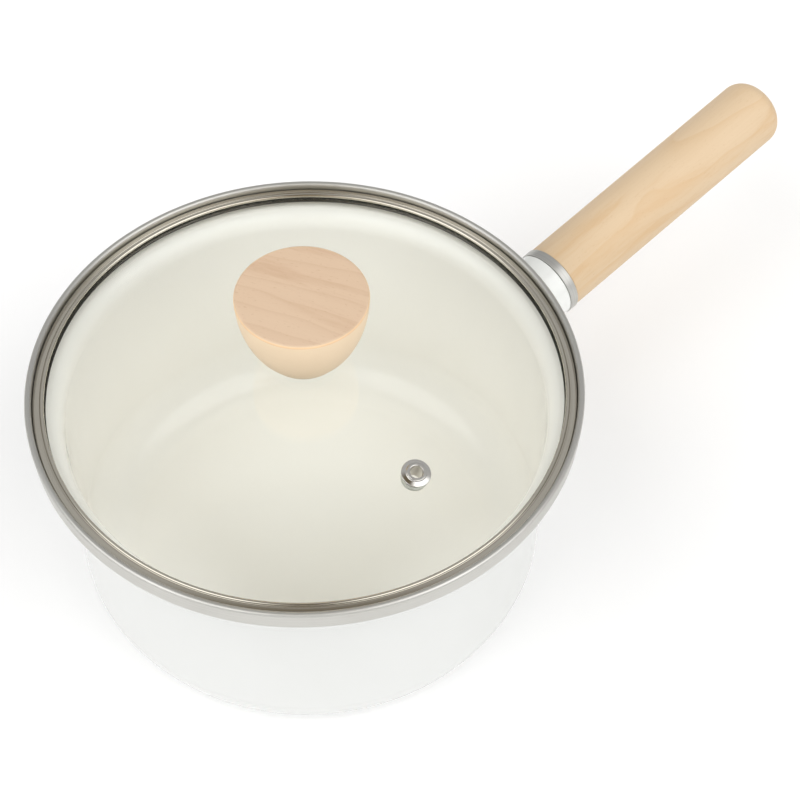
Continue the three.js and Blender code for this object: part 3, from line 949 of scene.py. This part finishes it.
depths = np.linspace(knob_top - knob_base - KNOB_EDGE, KNOB_EDGE, 40)
side = np.column_stack([knob_side(depths), knob_top - depths])
foot_arc = arc(side[0, 0] - KNOB_EDGE, knob_base + KNOB_EDGE, KNOB_EDGE, -90, -15)
top_arc = arc(side[-1, 0] - KNOB_EDGE, knob_top - KNOB_EDGE, KNOB_EDGE, 6, 90)
knob_section = np.vstack([
    outline(
        (0, bore_end, 0), (BORE, bore_end, 0.2 * MM), (BORE, knob_base, 0.2 * MM),
        (BORE + 2 * MM, knob_base, 0),
    ),
    np.linspace((BORE + 3 * MM, knob_base), (foot_arc[0, 0] - HOLD, knob_base), 5),
    foot_arc, side[1:-1], top_arc,
    np.linspace((top_arc[-1, 0] - HOLD, knob_top), (0, knob_top), 12),
])
knob = spin("wooden_knob", knob_section, SLIM)
dress(knob, "lid", "beech", ["knob_grip"], beech)

# %% [markdown]
# ## What holds the knob
#
# Under the knob, a soft disc lies on the glass. A soft grommet lines the hole, a steel washer
# spreads the load, and a slotted screw draws it all together. They show only when the lid is
# lifted and looked at from below, yet each is a few corners of an outline.

# %% Make the knob's fixings
def washer(name, inner, outer, bottom, top, edge, place=UPRIGHT, columns=FINE):
    """A flat ring with rounded edges."""
    middle = (inner + outer) / 2
    section = closed(
        (middle, bottom, 0), (outer, bottom, edge), (outer, top, edge),
        (inner, top, edge), (inner, bottom, edge),
    )
    return spin(name, section, columns, place)


def soft_grommet(name, inner, sleeve, sleeve_top, flange, bottom, flange_top, place=UPRIGHT,
                 *, seam):
    """A sleeve with a wider flange at its foot. inner, sleeve, flange and seam are radii.

    The section starts and ends at seam, in the flat of the foot."""
    section = closed(
        (seam, bottom, 0), (flange, bottom, 0.3 * MM), (flange, flange_top, 0.3 * MM),
        (sleeve, flange_top, 0.15 * MM), (sleeve, sleeve_top, 0.2 * MM),
        (inner, sleeve_top, 0.2 * MM), (inner, bottom, 0.2 * MM),
    )
    return spin(name, section, FINE, place)


SCREW_HOLE = 2.3 * MM
gasket = washer(
    "knob_disc", SCREW_HOLE, radius("knob_gasket"), low("knob_gasket"), high("knob_gasket"),
    0.3 * MM,
)
dress(gasket, "lid", "clear_silicone", ["knob_gasket"], clear_silicone)
FLANGE = 0.9 * MM
grommet = soft_grommet(
    "knob_grommet_soft", SCREW_HOLE, KNOB_HOLE - FIT, high("knob_grommet"),
    radius("knob_grommet"), low("knob_grommet"), low("knob_grommet") + FLANGE,
    seam=6 * MM,
)
dress(grommet, "lid", "clear_silicone", ["knob_grommet"], clear_silicone)
under_washer = washer(
    "knob_washer_steel", SCREW_HOLE, radius("knob_washer"), low("knob_washer"), high("knob_washer"),
    0.2 * MM,
)
dress(under_washer, "lid", "brushed_steel", ["knob_washer"], washer_steel)

# %% [markdown]
# The screw's thread is a radius that rises and falls along a helix: at angle a and height z
# it is the sawtooth of z / pitch - a / (2 pi), rounded into a wave. The slot is a step down
# in the head's face wherever |y| is under half the slot's width.

# %% Cut the screw
PITCH = 0.7 * MM
THREAD = 0.25 * MM
SLOT = Vector((1.0 * MM, 1.1 * MM))


def screw(name, shank, head, head_top, bottom, end):
    """A slotted screw that stands on the axis, head down."""
    angle = np.linspace(0, 2 * math.pi, FINE, endpoint=False)[None]
    dome = np.linspace(0.02, 1, 28)[:, None]
    head_r = dome * head
    head_z = bottom + (head_top - bottom) * 0.75 * (1 - np.sqrt(1 - dome**2 * 0.98))
    face = UPRIGHT.points(head_r, angle, head_z)
    across = np.abs(face[..., 1])
    cut = np.clip((SLOT.x / 2 + 0.08 * MM - across) / (0.16 * MM), 0, 1)
    floor_z = bottom + SLOT.y
    face[..., 2] += cut * np.maximum(floor_z - face[..., 2], 0)
    flat = UPRIGHT.points(np.linspace(head, shank, 6)[:, None], angle, head_top)
    z = np.arange(head_top + 0.1 * MM, end - 0.4 * MM, PITCH / 8)[:, None]
    wave = 0.5 + 0.5 * np.cos(2 * math.pi * (z - head_top) / PITCH - angle)
    runout = np.clip((z - head_top) / (2 * MM), 0, 1)
    shank_grid = UPRIGHT.points(shank - THREAD * wave * runout, angle, z)
    tip = UPRIGHT.points(np.array([[shank * 0.7]]), angle, end)
    grid = np.concatenate([face, flat, shank_grid, tip])
    poles = np.array([[0, 0, floor_z], [0, 0, end]])
    piece = grid_mesh(name, grid, poles=poles)
    print(name, "threads", int((end - head_top) / PITCH))
    return piece


slotted = screw(
    "knob_screw_slotted", 2 * MM, radius("knob_screw"), low("knob_washer") - CRIMP, low("knob_screw"),
    high("knob_screw"),
)
dress(slotted, "lid", "brushed_steel", ["knob_screw"], washer_steel)

# %% [markdown]
# ## The steam vent
#
# The vent is a steel eyelet. Its flange is stepped: a low outer edge, a slope up, and a small
# raised ring that rolls over into the bore. It stands square to the glass, so it has its own
# place, with Z along the dome's normal. The closed section goes round the flange, down the
# tube and out again over a washer below.

# %% Press the eyelet
VENT_BORE = 2.3 * MM
TUBE = 0.6 * MM
VENT_FLANGE = 5.2 * MM
VENT_CROWN = 1.5 * MM
FLANGE_SIDE = 0.5 * MM
STEP_FOOT = 3.6 * MM
STEP_HEIGHT = 0.95 * MM
STEP_TOP = 3.3 * MM
SPREAD = 4 * MM
VENT_SOFT = 4.8 * MM
VENT_SOFT_SHEET = 0.8 * MM
VENT_WASHER = 4.6 * MM
VENT_WASHER_SHEET = 0.6 * MM
washer_face = -(GLASS + FIT + VENT_SOFT_SHEET + FIT)
washer_back = washer_face - VENT_WASHER_SHEET
spread_low = washer_back - FIT - TUBE
tube_outer = VENT_BORE + TUBE
eyelet_section = closed(
    (SPREAD - 1 * MM, spread_low, 0),
    (SPREAD, spread_low, 0.25 * MM),
    (SPREAD, spread_low + TUBE, 0.25 * MM),
    (tube_outer, spread_low + TUBE, 0.2 * MM),
    (tube_outer, 0.06 * MM, 0.2 * MM),
    (VENT_FLANGE, 0.02 * MM, 0.05 * MM),
    (VENT_FLANGE, FLANGE_SIDE, 0.18 * MM),
    (STEP_FOOT, STEP_HEIGHT, 0.4 * MM),
    (STEP_TOP, VENT_CROWN, 0.3 * MM),
    (VENT_BORE, VENT_CROWN, 0.35 * MM),
    (VENT_BORE, spread_low, 0.4 * MM),
)
eyelet = spin("vent_eyelet_steel", eyelet_section, FINE, vent_place)
dress(eyelet, "lid", "polished_steel", ["vent_eyelet"], eyelet_steel)

# %% [markdown]
# A soft grommet keeps the steel off the glass, and the eyelet's foot is spread over a washer
# below it. Both are the knob's helpers again, at the vent's own place.

# %% Add the vent's grommet and washer
sleeve_inner = tube_outer + FIT
sleeve_outer = sleeve_inner + 0.7 * MM
flange_top = -(GLASS + FIT)
vent_grommet = soft_grommet(
    "vent_grommet_soft", sleeve_inner, sleeve_outer, -0.2 * MM, VENT_SOFT,
    flange_top - VENT_SOFT_SHEET, flange_top, vent_place,
    seam=4.3 * MM,
)
dress(vent_grommet, "lid", "clear_silicone", ["vent_grommet"], clear_silicone)
vent_washer = washer(
    "vent_washer_steel", sleeve_inner, VENT_WASHER, washer_back, washer_face, 0.15 * MM, vent_place
)
dress(vent_washer, "lid", "brushed_steel", ["vent_washer"], washer_steel)

# %% [markdown]
# ## The handle
#
# Everything on the handle shares one sloping axis that starts at the pan's wall. The socket
# is a cone whose foot follows the round wall. For each angle round the cone, the distance
# from the wall is found by stepping until the point's distance from the pan's axis is the
# wall's radius. From there a quarter-round fillet, the enamel that fills the weld, leads up
# to the cone's straight side.

# %% Weld the socket to the wall
SOCKET_LENGTH = 41.1 * MM
SOCKET_ROOT = 10.6 * MM
SOCKET_SHEET = 1.2 * MM
SOCKET_PLATE = 3 * MM
GRIP_RADIUS = 14 * MM
STUD_HOLE = 3.3 * MM
WELD = 2.6 * MM
handle_axis = (math.cos(HANDLE_SLOPE), 0, math.sin(HANDLE_SLOPE))
handle_place = Place((WALL_RADIUS, 0, HANDLE_HEIGHT), handle_axis, start=(0, 1, 0))


def socket():
    """The hollow cone. Row k, column j is a point at a radius and a distance along the axis, and
    both depend on the angle near the wall."""
    angle = np.linspace(0, 2 * math.pi, SLIM, endpoint=False)
    slope = (GRIP_RADIUS - SOCKET_ROOT) / SOCKET_LENGTH

    def meet_wall(extra, depth):
        """Distances along the axis where the cone, made thicker by extra, meets the wall."""
        s = np.zeros(SLIM)
        for _ in range(12):
            point = handle_place.points(SOCKET_ROOT + slope * s + extra, angle, s)
            s -= (np.hypot(point[:, 0], point[:, 1]) - (WALL_RADIUS - depth)) / handle_axis[0]
        return s

    fillet = np.radians(np.linspace(0, 90, 10))[:, None]
    foot = meet_wall(WELD, 0.05 * MM)[None]
    weld_s = foot + WELD * (1 - np.cos(fillet))
    weld_r = SOCKET_ROOT + slope * weld_s + WELD * (1 - np.sin(fillet))
    share = np.linspace(0, 1, 14)[1:, None]
    edge = 0.25 * MM
    side_s = weld_s[-1] + (SOCKET_LENGTH - edge - weld_s[-1]) * share
    side_r = SOCKET_ROOT + slope * side_s
    mouth = outline(
        (GRIP_RADIUS - slope * edge * 2, SOCKET_LENGTH - 2 * edge, 0),
        (GRIP_RADIUS, SOCKET_LENGTH, edge),
        (STUD_HOLE, SOCKET_LENGTH, 0.2 * MM),
        (STUD_HOLE, SOCKET_LENGTH - SOCKET_PLATE, 0.2 * MM),
        (GRIP_RADIUS - slope * SOCKET_PLATE - SOCKET_SHEET, SOCKET_LENGTH - SOCKET_PLATE, 0.5 * MM),
        (SOCKET_ROOT + slope * 20 * MM - SOCKET_SHEET, 20 * MM, 0),
    )[1:]
    back_s = meet_wall(-SOCKET_SHEET, 0.05 * MM)[None]
    back_r = SOCKET_ROOT + slope * back_s - SOCKET_SHEET
    ones = np.ones((1, SLIM))
    s = np.concatenate([weld_s * ones, side_s[:-1], mouth[:, 1:] * ones, back_s])
    r = np.concatenate([weld_r * ones, side_r[:-1], mouth[:, :1] * ones, back_r])
    return grid_mesh("handle_socket_enamel", handle_place.points(r, angle[None], s))


handle_socket = socket()
dress(handle_socket, "pan", "enamel", ["handle_socket"], socket_enamel)
print("socket", len(handle_socket.data.vertices), "vertices")

# %% [markdown]
# The ferrule is a plain steel ring with rounded edges. Its lines run round the handle, not
# round the pan, so its steel reads coordinates turned to the handle's axis first.

# %% Fit the ferrule
def handle_lines(place, scale):
    """Noise that runs round the handle's axis."""
    centred = place.moved(shift=(-WALL_RADIUS, 0, -HANDLE_HEIGHT))
    level = centred.moved(turn=(0, HANDLE_SLOPE - math.pi / 2, 0))
    return turned_lines(level, scale)


ferrule_steel = steel(
    "ferrule_steel", "brushed_steel", rgb(205, 204, 200), rgb(184, 183, 179), 0.32, 0.18, handle_lines
)
FERRULE = 3.6 * MM
PROUD = 0.35 * MM
FERRULE_WALL = 3 * MM
ferrule_start = SOCKET_LENGTH + CRIMP
ferrule_end = SOCKET_LENGTH + FIT + FERRULE
ferrule = washer(
    "ferrule_steel_ring", GRIP_RADIUS + PROUD - FERRULE_WALL, GRIP_RADIUS + PROUD, ferrule_start,
    ferrule_end, 0.3 * MM, handle_place, SLIM,
)
dress(ferrule, "pan", "brushed_steel", ["ferrule_ring"], ferrule_steel)

# %% [markdown]
# The grip is turned from pale wood. It swells by a quarter of a millimetre towards its free
# end, and the end is rounded over. Near the ferrule it steps down to a tenon, which the ring
# hides.

# %% Turn the grip
SWELL = 0.25 * MM
GRIP_LENGTH = 127 * MM
END_ROUND = 7.3 * MM
grip_start = ferrule_end + CRIMP
grip_end = ferrule_end + GRIP_LENGTH
tenon_start = SOCKET_LENGTH + 2 * FIT
tenon = GRIP_RADIUS + PROUD - FERRULE_WALL - FIT
INSERT = 5 * MM
insert_end = tenon_start + FIT + 22 * MM
insert_bore = INSERT + FIT
length = np.linspace(grip_start + 0.5 * MM, grip_end - END_ROUND, 40)
share = (length - grip_start) / (grip_end - END_ROUND - grip_start)
body = np.column_stack([GRIP_RADIUS + SWELL * share, length])
end_arc = arc(GRIP_RADIUS + SWELL - END_ROUND, grip_end - END_ROUND, END_ROUND, 0, 90, math.radians(5))
grip_section = np.vstack([
    outline(
        (0, insert_end + FIT, 0), (insert_bore, insert_end + FIT, 0.2 * MM),
        (insert_bore, tenon_start, 0.2 * MM), (tenon, tenon_start, 0.3 * MM),
        (tenon, grip_start, 0.1 * MM), (GRIP_RADIUS, grip_start, 0.3 * MM),
        (GRIP_RADIUS, grip_start + 0.5 * MM, 0),
    )[:-1],
    body, end_arc[1:],
    np.linspace((end_arc[-1, 0] - HOLD, grip_end), (0, grip_end), 6),
])
grip = spin("wooden_grip", grip_section, SLIM, handle_place)
dress(grip, "pan", "pine", ["handle_grip"], pine)

# %% [markdown]
# ## The hidden hardware
#
# The nut, the stud and the two brass inserts are right as the CAD has them, so they stay,
# and only get a better finish.

# %% Finish the CAD parts that stay
kept = {"socket_nut": zinc, "handle_stud": zinc, "handle_insert": brass, "knob_insert": brass}
for node, material in kept.items():
    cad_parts[node].data.materials.clear()
    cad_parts[node].data.materials.append(material)
print("kept CAD nodes", sorted(kept))

# %% [markdown]
# ## Light and floor
#
# A pale floor runs out on every side. It takes the pan's shadow, and shows that it stands.

# %% Lay the floor
FLOOR = 6.0


def floor_finish():
    """Pale matt card with the faintest mottling, lifted by a little glow of its own."""

    def build(place):
        mottle = place.noise(3, 3, 0.5)
        return {
            "Base Color": blend(mottle.above(0.3, 0.7), rgb(232, 232, 232), rgb(229, 229, 229)),
        }

    return finish(
        "floor_card", "enamel", build, Roughness=0.9, Emission_Color=(1, 1, 1, 1), Emission_Strength=0.2
    )


floor_data = bpy.data.meshes.new("floor")
signs = [(-1, -1), (1, -1), (1, 1), (-1, 1)]
floor_data.from_pydata([(x * FLOOR, y * FLOOR, -CRIMP) for x, y in signs], [], [(0, 1, 2, 3)])
floor = bpy.data.objects.new("floor", floor_data)
bpy.context.scene.collection.objects.link(floor)
floor_data.materials.append(floor_finish())
print("floor", 2 * FLOOR, "m wide")

# %% [markdown]
# Two large soft boxes light the pan from the left and the right of the camera. Polished steel
# shows what stands round it, so the sky is drawn as a room: light all round, a bright patch
# where each soft box is, a fainter one low on the camera's side, and a soft brown patch above
# the camera. That dark patch is what makes the steel read as steel. The lamps themselves are
# hidden from reflections, because a patch in the sky has a soft edge and a lamp has a hard one.

# %% Light the room
LEFT, RIGHT = 170.7, 280.7  # bearings of the soft boxes, in degrees
CAMERA_SIDE = math.degrees(VIEW_BEARING) + 180
BOX_SLOPE = 45
BOX_SIDE = 1.2
BOX_DISTANCE = 1.5
BOX_WATTS = 2.4
SKY_STRENGTH = 0.85


def direction(bearing, slope):
    """The unit vector at a bearing and a slope above level, both in degrees."""
    turn, lift = math.radians(bearing), math.radians(slope)
    return math.cos(turn) * math.cos(lift), math.sin(turn) * math.cos(lift), math.sin(lift)


def lobe(ray, bearing, slope, wide, narrow):
    """0 to 1 round a direction in degrees: 1 nearer than narrow and 0 further away than wide."""
    inputs = {0: ray, 1: direction(bearing, slope)}
    near = ray.node("VectorMath", {"operation": "DOT_PRODUCT"}, inputs, output="Value")
    return near.above(math.cos(math.radians(wide)), math.cos(math.radians(narrow)))


def sky():
    """Light by direction: bright overhead and softer at the horizon, a bright patch at each soft
    box, a fainter one low on the camera's side, and a brown patch above the camera."""
    world = bpy.data.worlds.new("room")
    world.use_nodes = True
    tree = world.node_tree
    background = tree.nodes["Background"]
    ray = Wire(tree).node("TexCoord")
    sides = lobe(ray, LEFT, BOX_SLOPE, 38, 18) + lobe(ray, RIGHT, BOX_SLOPE, 38, 18)
    near_floor = lobe(ray, CAMERA_SIDE, 16, 20, 8)
    overhead = ray.part("Z").above(0.05, 0.75)
    light = 0.5 + 0.17 * overhead + 1.9 * sides + 0.6 * near_floor
    brown = lobe(ray, CAMERA_SIDE, 67, 42, 22) * (1 - sides)
    colour = blend(brown, light, rgb(114, 100, 74))
    tree.links.new(colour.socket, background.inputs["Color"])
    background.inputs["Strength"].default_value = SKY_STRENGTH
    bpy.context.scene.world = world


def soft_box(name, bearing):
    """A square area lamp that faces the pan from a bearing in degrees."""
    lamp = bpy.data.lights.new(name, "AREA")
    lamp.shape = "RECTANGLE"
    lamp.size = lamp.size_y = BOX_SIDE
    lamp.energy = BOX_WATTS
    box = bpy.data.objects.new(name, lamp)
    bpy.context.scene.collection.objects.link(box)
    ray = Vector(direction(bearing, BOX_SLOPE))
    box.location = Vector((0, 0, rim_height)) + ray * BOX_DISTANCE
    box.rotation_euler = ray.to_track_quat("Z", "Y").to_euler()
    box.visible_glossy = False
    box.visible_transmission = False


sky()
soft_box("left_box", LEFT)
soft_box("right_box", RIGHT)
